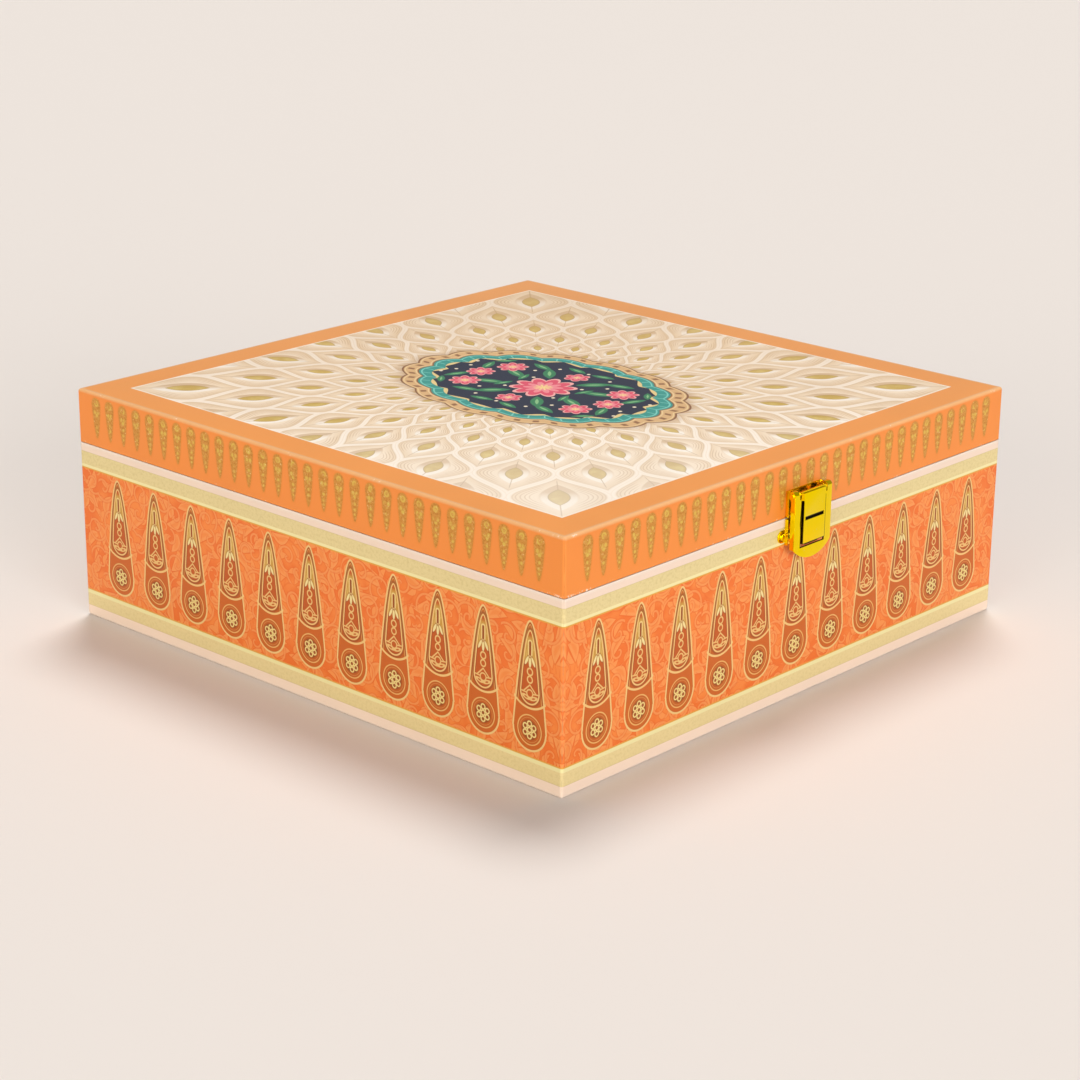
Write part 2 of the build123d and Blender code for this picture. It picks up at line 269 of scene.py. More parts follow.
def cloud(tree, where, scale, detail=2.0, roughness=0.5):
    """Noise from 0 to 1 at the point where, with this many spots to a millimetre."""
    node = tree.nodes.new("ShaderNodeTexNoise")
    node.inputs["Scale"].default_value = scale
    node.inputs["Detail"].default_value = detail
    node.inputs["Roughness"].default_value = roughness
    tree.links.new(where, node.inputs["Vector"])
    return Varying(tree, node.outputs[0])


def group_of(name, ins, outs):
    """An empty node group with these inputs and outputs, and its two end nodes."""
    group = bpy.data.node_groups.new(name, "ShaderNodeTree")
    for label, kind, value in ins:
        socket = group.interface.new_socket(label, in_out="INPUT", socket_type=kind)
        socket.default_value = value
    for label, kind in outs:
        group.interface.new_socket(label, in_out="OUTPUT", socket_type=kind)
    return group, group.nodes.new("NodeGroupInput"), group.nodes.new("NodeGroupOutput")


def placed_group(tree, group, links=(), **values):
    """A node group in a material, with its own values."""
    node = tree.nodes.new("ShaderNodeGroup")
    node.node_tree = group
    for label, value in values.items():
        node.inputs[label.replace("_", " ")].default_value = value
    for label, socket in links:
        tree.links.new(socket, node.inputs[label])
    return node


box_half, box_height = 139.7, 102.0


def worn_and_highlit_edges():
    """The edges of the box: a painted highlight along the top and bottom ones, the worn upright
    ones, and bare spots.
    """
    group, enter, leave = group_of(
        "Worn and highlit edges",
        [("Low edge", "NodeSocketFloat", 0.0), ("High edge", "NodeSocketFloat", box_height)],
        [("Rim highlight", "NodeSocketFloat"), ("Corner", "NodeSocketFloat"), ("Bare", "NodeSocketFloat")],
    )
    x, y, z = placed(group)
    low_edge = Varying(group, enter.outputs["Low edge"])
    high_edge = Varying(group, enter.outputs["High edge"])
    from_side, from_end = box_half - abs(x), box_half - abs(y)
    from_height = (z - low_edge).least(high_edge - z)
    nearer, further = from_side.least(from_end), from_side.most(from_end)
    from_rim = nearer.most(from_height)
    where = point(x, y, z)
    patches = cloud(group, where, 0.13, 5.0, 0.65)
    specks = rise(cloud(group, where, 1.0, 3.0, 0.6), 0.50, 0.60)
    # Rim: a painted highlight over the rounded top and bottom edges
    rim = rise(from_rim - from_height.worked("LESS_THAN", from_height, 0.3), 1.4, 0.5)
    corner = rise(further, 0.75, 0.35) * rise(patches, 0.40, 0.58)
    near_corner = rise(further, 30.0, 6.0) * 0.07
    bare = rise(from_rim, 1.0, 0.4) * rise(patches + near_corner, 0.59, 0.68) * specks
    for label, value in (("Rim highlight", rim), ("Corner", corner), ("Bare", bare)):
        group.links.new(value.socket, leave.inputs[label])
    return group


surface_results = [
    ("Colour", "NodeSocketColor"), ("Roughness", "NodeSocketFloat"), ("Height", "NodeSocketFloat"),
]


def paper_surface():
    """A sheet's fibres and the faint clouding of its ink."""
    group, enter, leave = group_of("Paper surface", [
        ("Ink", "NodeSocketColor", (1, 1, 1, 1)), ("Roughness", "NodeSocketFloat", 0.45),
        ("Clouding", "NodeSocketFloat", 0.06),
    ], surface_results)
    where = point(*placed(group))
    fibres = cloud(group, where, 1.9, 4.0, 0.65)
    blotches = cloud(group, where, 0.035, 3.0)
    shade = (blotches + fibres * 0.6 - 0.8) * Varying(group, enter.outputs["Clouding"]) + 1.0
    toned = group.nodes.new("ShaderNodeVectorMath")
    toned.operation = "SCALE"
    group.links.new(enter.outputs["Ink"], toned.inputs[0])
    group.links.new(shade.socket, toned.inputs["Scale"])
    group.links.new(toned.outputs[0], leave.inputs["Colour"])
    rough = Varying(group, enter.outputs["Roughness"])
    rough = rough + (fibres - 0.5) * 0.2 + (blotches - 0.5) * 0.15
    group.links.new(rough.socket, leave.inputs["Roughness"])
    group.links.new((fibres + blotches).socket, leave.inputs["Height"])
    return group


paper_surface_group = paper_surface()
worn_and_highlit_edges_group = worn_and_highlit_edges()


def join_surface(tree, shader, surface, strength, relief):
    """Joins a surface's colour, roughness and height to the shader. relief is in mm."""
    bump = tree.nodes.new("ShaderNodeBump")
    bump.inputs["Strength"].default_value = strength
    bump.inputs["Distance"].default_value = relief * mm
    tree.links.new(surface.outputs["Height"], bump.inputs["Height"])
    tree.links.new(surface.outputs["Colour"], shader.inputs["Base Color"])
    tree.links.new(surface.outputs["Roughness"], shader.inputs["Roughness"])
    tree.links.new(bump.outputs[0], shader.inputs["Normal"])


def finish_paper(tree, shader, inks, roughness, gloss=0.4, clouding=0.06, relief=0.02):
    """Gives the inks a sheet's surface, and joins them to the shader."""
    surface = placed_group(
        tree, paper_surface_group, [("Ink", inks.colour)], Roughness=roughness, Clouding=clouding
    )
    join_surface(tree, shader, surface, 0.35, relief)
    shader.inputs["Specular IOR Level"].default_value = gloss


def cover(names, material):
    """Gives these CAD nodes the material."""
    for name in names:
        nodes[name].data.materials.clear()
        nodes[name].data.materials.append(material)


wall_board, tree, shader = plain_material("wall_board", ink("B9AE9C"), 0.85)
flecks = cloud(tree, point(*placed(tree)), 1.3, 4.0, 0.7)
grey = Inks(tree, ink("A89D8B")).lay(ink("C6BCAA"), rise(flecks, 0.35, 0.65))
grey.lay(ink("7F7567"), rise(flecks, 0.68, 0.74), 0.6)
finish_paper(tree, shader, grey, 0.85, gloss=0.3, clouding=0.1, relief=0.05)
cover([name for name in nodes if name.endswith("_board")], wall_board)


# Base papers. One sheet of satin art paper wraps each wall, folded over the rim and under
# the floor: striped bands, orange foliage, and eleven tall arched motifs outlined in gold.
pink_low, khaki_low, pale_low, gold_low = 0.0, 4.9, 10.4, 12.0
field_low, field_high = 12.5, 67.4
gold_high, pale_high, khaki_high, pink_high = 67.9, 69.1, 74.8, 78.45
motif_pitch, motifs_to_a_side = 23.85, 5
motif_top, motif_spread, bowl_centre, bowl_radius = 66.4, 1.33, 23.0, 8.6
inner_top, inner_spread, inner_centre, inner_radius = 62.6, 1.0, 37.9, 4.9
swag_centre, swag_radius = 42.6, 10.9
dagger_low, dagger_high, petals_middle = 53.0, 57.6, 49.7
upper_ring, lower_ring, bud_middle = 46.1, 43.0, 37.5
left_sheet_shift, front_sheet_shift = 4.0, 1.5
outside_from = 138.2


def wall_place():
    """Across and up on whichever wall the point is on, and whether it is outside."""
    group, _, leave = group_of("Place on a wall", [], [
        ("Across", "NodeSocketFloat"), ("Up", "NodeSocketFloat"), ("Outside", "NodeSocketFloat"),
    ])
    x, y, z = placed(group)
    across = x.or_where(abs(x).above(abs(y)), y)
    outside = abs(x).most(abs(y)).above(outside_from)
    for label, value in (("Across", across), ("Up", z), ("Outside", outside)):
        group.links.new(value.socket, leave.inputs[label])
    return group


wall_place_group = wall_place()


def on_the_wall(tree):
    """Across and up on the wall in millimetres, and 1 on its outer face."""
    place = placed_group(tree, wall_place_group)
    return [Varying(tree, place.outputs[label]) for label in ("Across", "Up", "Outside")]


def wall_ink(code):
    """A wall ink, mixed darker for the strong light that the walls stand in."""
    return tuple(max(0.002, 0.78 * part - 0.026) for part in ink(code))


def scattered(tree, x, y, spacing, shift):
    """One sprig to each cell of a loose scatter: its own x and y, and a random number."""
    cells = tree.nodes.new("ShaderNodeTexVoronoi")
    cells.voronoi_dimensions = "2D"
    cells.inputs["Scale"].default_value = 1 / spacing
    cells.inputs["Randomness"].default_value = 0.85
    tree.links.new(point(x + shift, y + shift), cells.inputs["Vector"])
    middle = tree.nodes.new("ShaderNodeSeparateXYZ")
    tree.links.new(cells.outputs["Position"], middle.inputs[0])
    chance = tree.nodes.new("ShaderNodeSeparateXYZ")
    tree.links.new(cells.outputs["Color"], chance.inputs[0])
    near_x = x + shift - Varying(tree, middle.outputs[0])
    near_y = y + shift - Varying(tree, middle.outputs[1])
    return near_x, near_y, Varying(tree, chance.outputs[0])


def leaf_scatter(tree, x, y, spacing, shift, half_length, half_width):
    """How deep a point is inside the nearest of many curved, pointed leaves."""
    near_x, near_y, chance = scattered(tree, x, y, spacing, shift)
    bearing = chance * (4 * math.pi)
    cos, sin = bearing.cosine(), bearing.sine()
    along = near_x * cos + near_y * sin
    across = near_y * cos - near_x * sin + along * along * (0.4 / half_length)
    return (1.0 - along * along * (1 / half_length ** 2)) * half_width - abs(across)


def curl_scatter(tree, x, y, spacing, shift, pitch):
    """How far a point is from the nearest of many curled stems."""
    near_x, near_y, chance = scattered(tree, x, y, spacing, shift)
    out = reach(near_x, near_y)
    winding = turn(near_x, near_y) / (2 * math.pi) + chance * 2.0 + out / pitch
    from_stem = abs(winding - winding.rounded()) * pitch
    return from_stem.most(out - spacing * 0.66)


def arch_depth(wide, up, apex, spread, centre, radius):
    """How deep a point is inside a tall arch that ends in a round bowl."""
    lean = (wide * wide * (4 / spread ** 4) + 1.0).root()
    arch = (apex - up - wide * wide * (1 / spread ** 2)) / lean
    bowl = radius - reach(wide, up - centre)
    return bowl.or_where(up.above(centre), arch)


base_print, tree, shader = plain_material("base_print", wall_ink("F98C4A"), 0.45)
across, up, outside = on_the_wall(tree)
x, y, z = placed(tree)
on_left, on_front = (-outside_from - x).above(0.0), (-outside_from - y).above(0.0)
across = across + on_left * left_sheet_shift + on_front * front_sheet_shift
print_base = Inks(tree, wall_ink("FCE3CF"))

khaki_bands = band(up, khaki_low, pale_low).most(band(up, pale_high, khaki_high))
mottle = cloud(tree, point(across, up), 0.8, 3.0, 0.7)
print_base.lay(wall_ink("F0DCA2"), khaki_bands)
print_base.lay(wall_ink("DCC68C"), khaki_bands * rise(mottle, 0.46, 0.7), 0.7)
pale_lines = band(up, pale_low, gold_low).most(band(up, gold_high, pale_high))
print_base.lay(wall_ink("FCF0B4"), pale_lines)

# The two stripes at the foot are a little paler, because less light falls on them
print_base.lay(ink("FBDFC6"), band(up, pink_low, khaki_low), 0.22)
print_base.lay(ink("EAD096"), band(up, khaki_low, pale_low), 0.22)
from_khaki_edge = abs(up - khaki_low).least(abs(up - khaki_high))
print_base.lay(wall_ink("C9B070"), shape(0.1 - from_khaki_edge), 0.5)

# The foliage: drifts of lighter ink, then leaves, with curled stems over them
field = band(up, field_low, field_high)
drift = cloud(tree, point(across, up), 0.09, 2.0)
print_base.lay(wall_ink("F97F40"), field)
print_base.lay(wall_ink("FF934D"), field * rise(drift, 0.42, 0.60))
small_leaves = leaf_scatter(
    tree, across, up, spacing=6.6, shift=0.0, half_length=3.3, half_width=1.25
)
print_base.lay(wall_ink("F27038"), field * shape(small_leaves + 0.35, 0.4), 0.6)
print_base.lay(wall_ink("FF9F5A"), field * shape(small_leaves, 0.3))
large_leaves = leaf_scatter(
    tree, across, up, spacing=10.0, shift=150.0, half_length=5.4, half_width=2.2
)
print_base.lay(wall_ink("F2723A"), field * shape(large_leaves + 0.42, 0.4), 0.75)
print_base.lay(wall_ink("FFA35F"), field * shape(large_leaves, 0.3))
print_base.lay(wall_ink("FD904C"), field * shape(large_leaves - 1.25, 0.7), 0.7)
stems = curl_scatter(tree, across, up, spacing=10.5, shift=300.0, pitch=4.4)
print_base.lay(wall_ink("F27038"), field * shape(0.85 - stems, 0.4), 0.5)
print_base.lay(wall_ink("FFA764"), field * shape(0.44 - stems, 0.4), 0.75)
gold_lines = band(up, gold_low, field_low).most(band(up, field_high, gold_high))
print_base.lay(wall_ink("EDB048"), gold_lines)

# The motif, repeated across the wall: side is measured from its own centre line
step = (across / motif_pitch).rounded().kept_between(-motifs_to_a_side, motifs_to_a_side)
side = across - step * motif_pitch
wide = abs(side)
outer = arch_depth(wide, up, motif_top, motif_spread, bowl_centre, bowl_radius)
drop = arch_depth(wide, up, inner_top, inner_spread, inner_centre, inner_radius)
body = shape(outer)
inside_drop = shape(drop)
swag = reach(side, up - swag_centre) - swag_radius
above_swag = shape(0.0 - swag).most(rise(up, 37.0, 37.5))
below_swag = 1.0 - above_swag
grain = cloud(tree, point(side * 3.0, up * 0.35), 1.0, 3.0, 0.7)

print_base.lay(wall_ink("CB6A2F"), body)
print_base.lay(wall_ink("CB9040"), body * rise(up, 41.0, 54.0) * rise(up, 64.2, 61.0))
outer_shine = rise(up, 45.0, 54.0) * rise(up, 63.5, 60.0) * rise(grain, 0.5, 0.62)
print_base.lay(wall_ink("E6BA66"), body * outer_shine, 0.6)
print_base.lay(wall_ink("9E5526"), band(outer, 0.85, 1.45, 0.4), 0.65)
print_base.lay(wall_ink("E6B066"), band(outer, 1.6, 2.0) * above_swag)
print_base.lay(wall_ink("D67038"), body * below_swag * shape(outer - 0.9))
print_base.lay(wall_ink("9E5526"), band(drop, -0.8, 0.0, 0.3) * above_swag, 0.6)
print_base.lay(wall_ink("CB662E"), inside_drop)
print_base.lay(wall_ink("D5A04E"), inside_drop * rise(up, 49.0, 50.5) * rise(up, 60.8, 59.2))
inner_shine = rise(up, 50.0, 51.5) * rise(up, 60.0, 58.0) * rise(grain, 0.5, 0.6)
print_base.lay(wall_ink("EECB7C"), inside_drop * inner_shine, 0.5)
print_base.lay(wall_ink("A95320"), band(drop, 0.6, 1.1, 0.3) * rise(up, 50.0, 48.0), 0.7)
print_base.lay(wall_ink("FACE86"), band(drop, 0.0, 0.62))

# In the drop: a dagger with a three-petalled foot, two rings, and a rosette of arcs
dagger = reach(side, up - up.kept_between(dagger_low, dagger_high))
print_base.lay(wall_ink("F8D68E"), band(dagger, 0.55, 1.15) * rise(up, 51.0, 52.0))
print_base.lay(wall_ink("A55A24"), shape(0.5 - dagger) * rise(up, 51.8, 52.6))
foot = reach(side / 0.62, (up - petals_middle) / 1.9)
foot = foot.least(reach((wide - 1.25 + (up - 51.2) * 0.45) / 0.62, (up - 50.3) / 1.75))
print_base.lay(wall_ink("9E5526"), shape(1.35 - foot, 0.3) * shape(drop - 0.6), 0.6)
print_base.lay(wall_ink("FCE6A4"), shape(1.0 - foot, 0.25))
rings = abs(reach(side / 1.3, (up - upper_ring) / 1.35) - 1.0) * 1.25
rings = rings.least(abs(reach(side / 1.25, (up - lower_ring) / 1.3) - 1.0) * 1.25)
print_base.lay(wall_ink("F5C880"), shape(0.28 - rings))
bud = abs(reach(side, up - bud_middle) - 1.5)
roof = abs(up - 40.9 + wide * 0.95) / 1.38 + rise(wide, 3.2, 3.8) * 2.0
stalks = abs(up - bud_middle - wide * 0.10) + rise(wide, 1.7, 1.2) * 2.0
low_leaves = abs(reach((wide - 1.9) / 1.5, (up - 35.4 - wide * 0.25) / 0.6) - 1.0) * 0.6
arcs = bud.least(roof).least(stalks).least(low_leaves)
print_base.lay(wall_ink("F5C880"), shape(0.27 - arcs) * shape(drop - 0.7))
swag_line = band(swag, -0.42, 0.42) * rise(up, 37.2, 36.6)
print_base.lay(wall_ink("FACE86"), swag_line * shape(outer + 0.5))

# In the bowl: a ringed medallion with a flower of seven rings
medallion = reach(side, up - bowl_centre)
print_base.lay(wall_ink("F3BE74"), band(medallion, 5.65, 6.15))
print_base.lay(wall_ink("C4662C"), shape(5.6 - medallion, 0.4), 0.6)
print_base.lay(wall_ink("F0B468"), band(medallion, 4.75, 5.0), 0.5)
sector, sixth = turn(up - bowl_centre, side), math.radians(60)
sector = sector - (sector / sixth).rounded() * sixth
ring_of_six = reach(medallion * sector.cosine() - 2.5, medallion * sector.sine())
beads = ring_of_six.least(medallion)
print_base.lay(wall_ink("A05A1C"), shape(4.0 - medallion, 0.3), 0.9)
print_base.lay(wall_ink("FDE294"), band(beads, 0.72, 1.27, 0.2))
print_base.lay(wall_ink("FAD08A"), band(outer, 0.0, 0.8))

fold = Inks(tree, wall_ink("FBE0CC")).lay(print_base.colour, outside)
edges = placed_group(tree, worn_and_highlit_edges_group, Low_edge=0.0, High_edge=pink_high)
# A painted highlight along the rim of the base, then the worn corners and bare spots
fold.lay(wall_ink("FFF0E2"), Varying(tree, edges.outputs["Rim highlight"]), 0.6)
fold.lay(wall_ink("9A8468"), Varying(tree, edges.outputs["Corner"]), 0.4)
fold.lay(ink("DCD0C0"), Varying(tree, edges.outputs["Bare"]), 0.6)
finish_paper(tree, shader, fold, 0.42)
cover([f"base_{wall}_paper" for wall in ("front", "back", "left", "right")], base_print)


# Under sheet and linings. Plain uncoated paper, pasted flat: under the floor to hide the
# folds, and over the inside of the walls, the floor and the top.
under_paper, tree, shader = plain_material("under_paper", ink("DCCCB8"), 0.75)
rubs = cloud(tree, point(*placed(tree)), 0.05, 5.0, 0.7)
pale = Inks(tree, ink("DED0BE")).lay(ink("BCAD99"), rise(rubs, 0.55, 0.75), 0.45)
finish_paper(tree, shader, pale, 0.75, gloss=0.3, relief=0.03)
cover(["base_under_sheet"], under_paper)

lining_paper, tree, shader = plain_material("lining_paper", ink("DFD5C5"), 0.7)
x, y, z = placed(tree)
laid = cloud(tree, point(x * 0.25, y * 0.25, z * 2.0), 1.4, 3.0)
cream = Inks(tree, ink("E1D7C7")).lay(ink("D2C6B3"), rise(laid, 0.35, 0.75), 0.5)
finish_paper(tree, shader, cream, 0.7, gloss=0.3, relief=0.03)
cover(["base_wall_lining", "base_floor_lining", "lid_wall_lining", "lid_top_lining"], lining_paper)


# Partition. Four strips of white-lined card, each slotted half through where it crosses
# the others, and lowered into the base loose. Their cut edges show the brown middle.
card_top, brown_edge = 53.6, 0.4

partition_card, tree, shader = plain_material("partition_card", ink("E6DCCC"), 0.65)
x, y, z = placed(tree)
scuffs = cloud(tree, point(x, y, z), 0.09, 5.0, 0.7)
white = Inks(tree, ink("E8DECF")).lay(ink("D3C5AF"), rise(scuffs, 0.58, 0.74), 0.5)
cut_edge = band(z, card_top - brown_edge, card_top + brown_edge, 0.2)
white.lay(ink("B9A284"), cut_edge, 0.8)
finish_paper(tree, shader, white, 0.65, gloss=0.35, relief=0.03)
cover([name for name in nodes if name.startswith("divider_")], partition_card)


# Lid papers. The same satin paper in plain orange, with a row of thirty gold drops round
# each wall. It folds over the top's edge, where it is the border, and in under the rim.
drop_pitch, drop_tip, drop_spread, drop_centre, drop_radius = 8.78, 82.5, 0.74, 97.4, 2.7
drops_to_a_side, fleck_ring, fleck_flower, fleck_foot = 15, 97.7, 93.9, 92.5
fleck_seeds = (89.6, 87.2, 85.3)
lid_low, top_rim_from, border_from = 78.75, 90.0, 101.5

lid_print, tree, shader = plain_material("lid_print", wall_ink("FD9A4F"), 0.45)
across, up, outside = on_the_wall(tree)
x, y, z = placed(tree)
print_lid = Inks(tree, wall_ink("FD9A4F"))
drop_step = (across / drop_pitch + 0.5).rounded()
drop_step = drop_step.kept_between(1 - drops_to_a_side, drops_to_a_side) - 0.5
side = across - drop_step * drop_pitch
wide = abs(side)
lean = (wide * wide * (4 / drop_spread ** 4) + 1.0).root()
tail = (up - drop_tip - wide * wide * (1 / drop_spread ** 2)) / lean
crown = drop_radius - reach(wide, up - drop_centre)
drop = tail.or_where(up.above(drop_centre), crown)
drop_body = shape(drop, 0.5) * outside
glitter = cloud(tree, point(across, up), 0.9, 4.0, 0.75)
smudge = cloud(tree, point(across, up), 0.45, 2.0)
smear = (smudge - 0.5) * 1.6
print_lid.lay(wall_ink("EE8F42"), shape(drop + 0.45, 0.8) * outside, 0.5)
print_lid.lay(wall_ink("DB994B"), drop_body)
print_lid.lay(wall_ink("BF7B2E"), drop_body * rise(glitter, 0.49, 0.62), 0.8)

# Flecks of brighter gold in each drop: a ring, a small flower and three seeds, all smeared
side, wide = side + smear, abs(side + smear)
crown_ring = abs(reach(side, up - fleck_ring) - 0.95).least(reach(side, up - fleck_ring) * 1.6)
flower = reach(wide - 0.95, (up - fleck_flower) / 1.15).least(reach(side, up - fleck_foot))
top_seed, middle_seed, low_seed = [reach(side, up - height) for height in fleck_seeds]
seeds = top_seed.least(middle_seed).least(low_seed * 1.3)
flecks = shape(0.40 - crown_ring, 0.4).most(shape(0.75 - flower, 0.5))
flecks = flecks.most(shape(0.65 - seeds, 0.5)) * rise(smudge, 0.36, 0.50) * drop_body
print_lid.lay(wall_ink("E6C25E"), flecks, 0.9)
print_lid.lay(wall_ink("F8E6A4"), drop_body * rise(glitter, 0.40, 0.33), 0.9)

# The border of the top, with painted shade towards the back right, a painted highlight along its
# edge, and the worn edges
border = rise(up, border_from, border_from + 0.4)
print_lid.lay(ink("EF9640"), border)
print_lid.lay(ink("E09C5C"), border * rise(x + y, -100.0, 220.0), 0.6)
edges = placed_group(tree, worn_and_highlit_edges_group, Low_edge=lid_low, High_edge=box_height)
# A painted highlight along the top edges of the lid
top_rim_highlight = Varying(tree, edges.outputs["Rim highlight"]) * rise(up, top_rim_from, top_rim_from + 1.0)
print_lid.lay(wall_ink("FFCA92"), top_rim_highlight, 0.75)
print_lid.lay(wall_ink("C0743A"), Varying(tree, edges.outputs["Corner"]), 0.45)
print_lid.lay(ink("F8E4CE"), Varying(tree, edges.outputs["Bare"]), 0.8)
finish_paper(tree, shader, print_lid, 0.42, clouding=0.09)
cover([f"lid_{wall}_paper" for wall in ("front", "back", "left", "right")], lid_print)


# Top sheet. Cream art paper pasted inside the orange border, printed with rings of
# pointed leaf cells that spread from an oval medallion of rosettes and leaves.
sheet_half = 123.9
cells_round, ring_growth, known_ring, line_spacing = 24, 1.234, 99.0, 0.0115
leaf_long, leaf_wide, eye_long, eye_wide = 0.50, 0.19, 0.30, 0.105
medallion_wide, medallion_tall, medallion_middle, lobes = 50.0, 71.0, 58.0, 8

# The cells: u counts them round the middle and v counts the rings outward. Distances in a
# cell are shares of the distance from the middle, so that the pattern grows outward.
top_print, tree, shader = plain_material("lid_top_print", ink("F2DABC"), 0.42)
x, y, z = placed(tree)
r = reach(x, y)
cell_turn = 2 * math.pi / cells_round
ring_step = math.log(ring_growth)
u = turn(x, y) / cell_turn
v = r.worked("LOGARITHM", r / known_ring, ring_growth)
from_cell = abs(u - u.rounded())
swell = (v * math.pi).cosine() * 0.25 + 0.25
in_even = swell.above(from_cell)
across_cell = (0.5 - from_cell).or_where(in_even, from_cell)
even_ring = v - (v / 2.0).rounded() * 2.0
odd_ring = v - 1.0 - ((v - 1.0) / 2.0).rounded() * 2.0
along_cell = odd_ring.or_where(in_even, even_ring)
slope = (v * math.pi).sine()
lean = (slope * slope * (cell_turn * 0.25 * math.pi / ring_step) ** 2 + 1.0).root()
from_edge = abs(swell - from_cell) * cell_turn / lean

beside = (u - 0.5 - (u - 0.5).rounded()).or_where(in_even, u - u.rounded())
outward = along_cell.kept_between(-0.35, 0.35) / 0.35
leftward = beside.kept_between(-0.12, 0.12) / 0.12
toward_light = ((y - x) * leftward * 0.7 - (x + y) * outward * 0.7) / r

print_top = Inks(tree, ink("F9E3C8"))
print_top.lay(ink("E7C8A0"), rise(from_edge, 0.055, 0.015), 0.7)
contours = (from_edge * (2 * math.pi / line_spacing)).cosine()
ruled = rise(from_edge, 0.012, 0.018) * rise(from_edge, 0.070, 0.055)
ruled = ruled * rise(across_cell, 0.12, 0.22)
print_top.lay(ink("C9A070"), rise(contours, 0.25, 0.95) * ruled, 0.75)
print_top.lay(ink("C9A272"), band(from_edge, 0.0125, 0.0165, 0.002), 0.55)
print_top.lay(ink("FFF0DF"), rise(from_edge, 0.0150, 0.0075))
print_top.lay(ink("F1DABF"), rise(from_edge, 0.0024, 0.0008), 0.6)

# In each cell: a pale leaf lit from one side, its vein, and the gold eye in its middle
pale_leaf = (1.0 - along_cell * along_cell * (1 / leaf_long ** 2)) * leaf_wide - across_cell
print_top.lay(ink("CCA576"), shape(pale_leaf + 0.004, 0.02) * rise(toward_light, 0.4, -0.6), 0.75)
print_top.lay(ink("FFF4E6"), shape(pale_leaf - 0.012, 0.02) * rise(toward_light, -0.5, 0.4))
vein = 0.0055 - across_cell
print_top.lay(ink("B58C58"), shape(vein, 0.006) * rise(abs(along_cell), 0.72, 0.62), 0.8)
eye = (1.0 - along_cell * along_cell * (1 / eye_long ** 2)) * eye_wide - across_cell
sheen = cloud(tree, point(x, y), 0.12, 3.0, 0.6)
print_top.lay(ink("A67F2E"), shape(eye + 0.004, 0.01))
print_top.lay(ink("CAA643"), shape(eye - 0.006, 0.012))
print_top.lay(ink("E3CB78"), shape(eye - 0.02, 0.04) * rise(sheen, 0.42, 0.62), 0.6)
print_top.lay(ink("B48E3C"), shape(eye - 0.006, 0.012) * rise(toward_light, 0.1, -0.9), 0.6)

# Painted shading: the paper is darker towards its back right corner and lighter towards its front
# left
print_top.lay(ink("CFA97C"), rise(x + y, -130.0, 230.0), 0.42)
print_top.lay(ink("FFF1E0"), rise(x + y, -60.0, -230.0), 0.5)

# The medallion, drawn in one quarter and mirrored. inward is how far a point is from its
# lobed rim, in millimetres.
qx, qy = abs(x), abs(y)
oval = reach(x / medallion_wide, y / medallion_tall)
bearing = turn(y / medallion_tall, x / medallion_wide)
lobed = abs((bearing * lobes).cosine()) * 0.05 + 0.955
inward = (lobed - oval) * medallion_middle
print_top.lay(ink("B98F60"), rise(inward, -4.0, 0.5), 0.6)
print_top.lay(ink("8A5A34"), shape(inward))
print_top.lay(ink("DCB07A"), band(inward, 0.8, 6.6))
beads = abs((bearing * (lobes * 3.0)).cosine())
print_top.lay(ink("96643A"), band(inward, 2.4, 5.0, 0.5) * rise(beads, 0.80, 0.92))
print_top.lay(ink("F0D29C"), band(inward, 1.2, 1.7).most(band(inward, 5.7, 6.2)), 0.8)
print_top.lay(ink("2F9488"), shape(inward - 7.2))
ticks = band(inward, 8.0, 12.0) * rise(beads, 0.22, 0.10)
print_top.lay(ink("7CCBBB"), band(inward, 8.0, 8.7).most(ticks))
print_top.lay(ink("E8C987"), shape(inward - 12.6))
inner_lobes = abs((bearing * 12.0).cosine()) * 2.2
print_top.lay(ink("0E1834"), shape(inward - 12.4 - inner_lobes))


def leaf(cx, cy, degrees, half_length, half_width):
    """How deep a point of the quarter is inside a pointed leaf."""
    cos, sin = math.cos(math.radians(degrees)), math.sin(math.radians(degrees))
    dx, dy = qx - cx, qy - cy
    along = dx * cos + dy * sin
    across = dy * cos - dx * sin
    return (1.0 - along * along * (1 / half_length ** 2)) * half_width - abs(across)


def rosette(cx, cy, radius, petals):
    """How deep a point of the quarter is inside a round flower."""
    dx, dy = qx - cx, qy - cy
    rim = abs((turn(dy, dx) * (petals / 2)).cosine()) * (0.3 * radius) + 0.72 * radius
    return rim - reach(dx, dy)


leaves = (
    (18.0, 13.0, 42, 8.0, 2.8), (8.5, 24.0, 68, 8.0, 2.6), (24.0, 22.5, 75, 7.0, 2.2),
    (10.0, 42.0, 20, 6.5, 2.1), (30.0, 7.5, 80, 6.0, 1.9), (6.5, 17.5, 15, 5.0, 1.6),
    (20.5, 41.0, -40, 5.0, 1.7),
)
for cx, cy, degrees, half_length, half_width in leaves:
    green = leaf(cx, cy, degrees, half_length, half_width)
    print_top.lay(ink("2F7D50"), shape(green))
    print_top.lay(ink("86BC80"), shape(green - half_width * 0.72))
blooms = ((0.0, 0.0, 14.5, 10), (21.5, 0.0, 5.8, 6), (15.0, 32.0, 7.0, 8), (0.0, 37.0, 6.4, 8))
for cx, cy, size, petals in blooms:
    bloom = rosette(cx, cy, size, petals)
    print_top.lay(ink("F4ABA4"), shape(bloom))
    print_top.lay(ink("DE4E66"), shape(bloom - size * 0.12))
    print_top.lay(ink("F08C92"), shape(bloom - size * 0.42))
    print_top.lay(ink("F6D48A"), shape(bloom - size * 0.72))
dots = ((9.0, 14.0), (26.5, 14.5), (4.5, 47.5), (17.5, 21.0), (29.0, 0.0), (11.5, 50.0))
for cx, cy in dots:
    print_top.lay(ink("F4E3C4"), shape(0.85 - reach(qx - cx, qy - cy)))

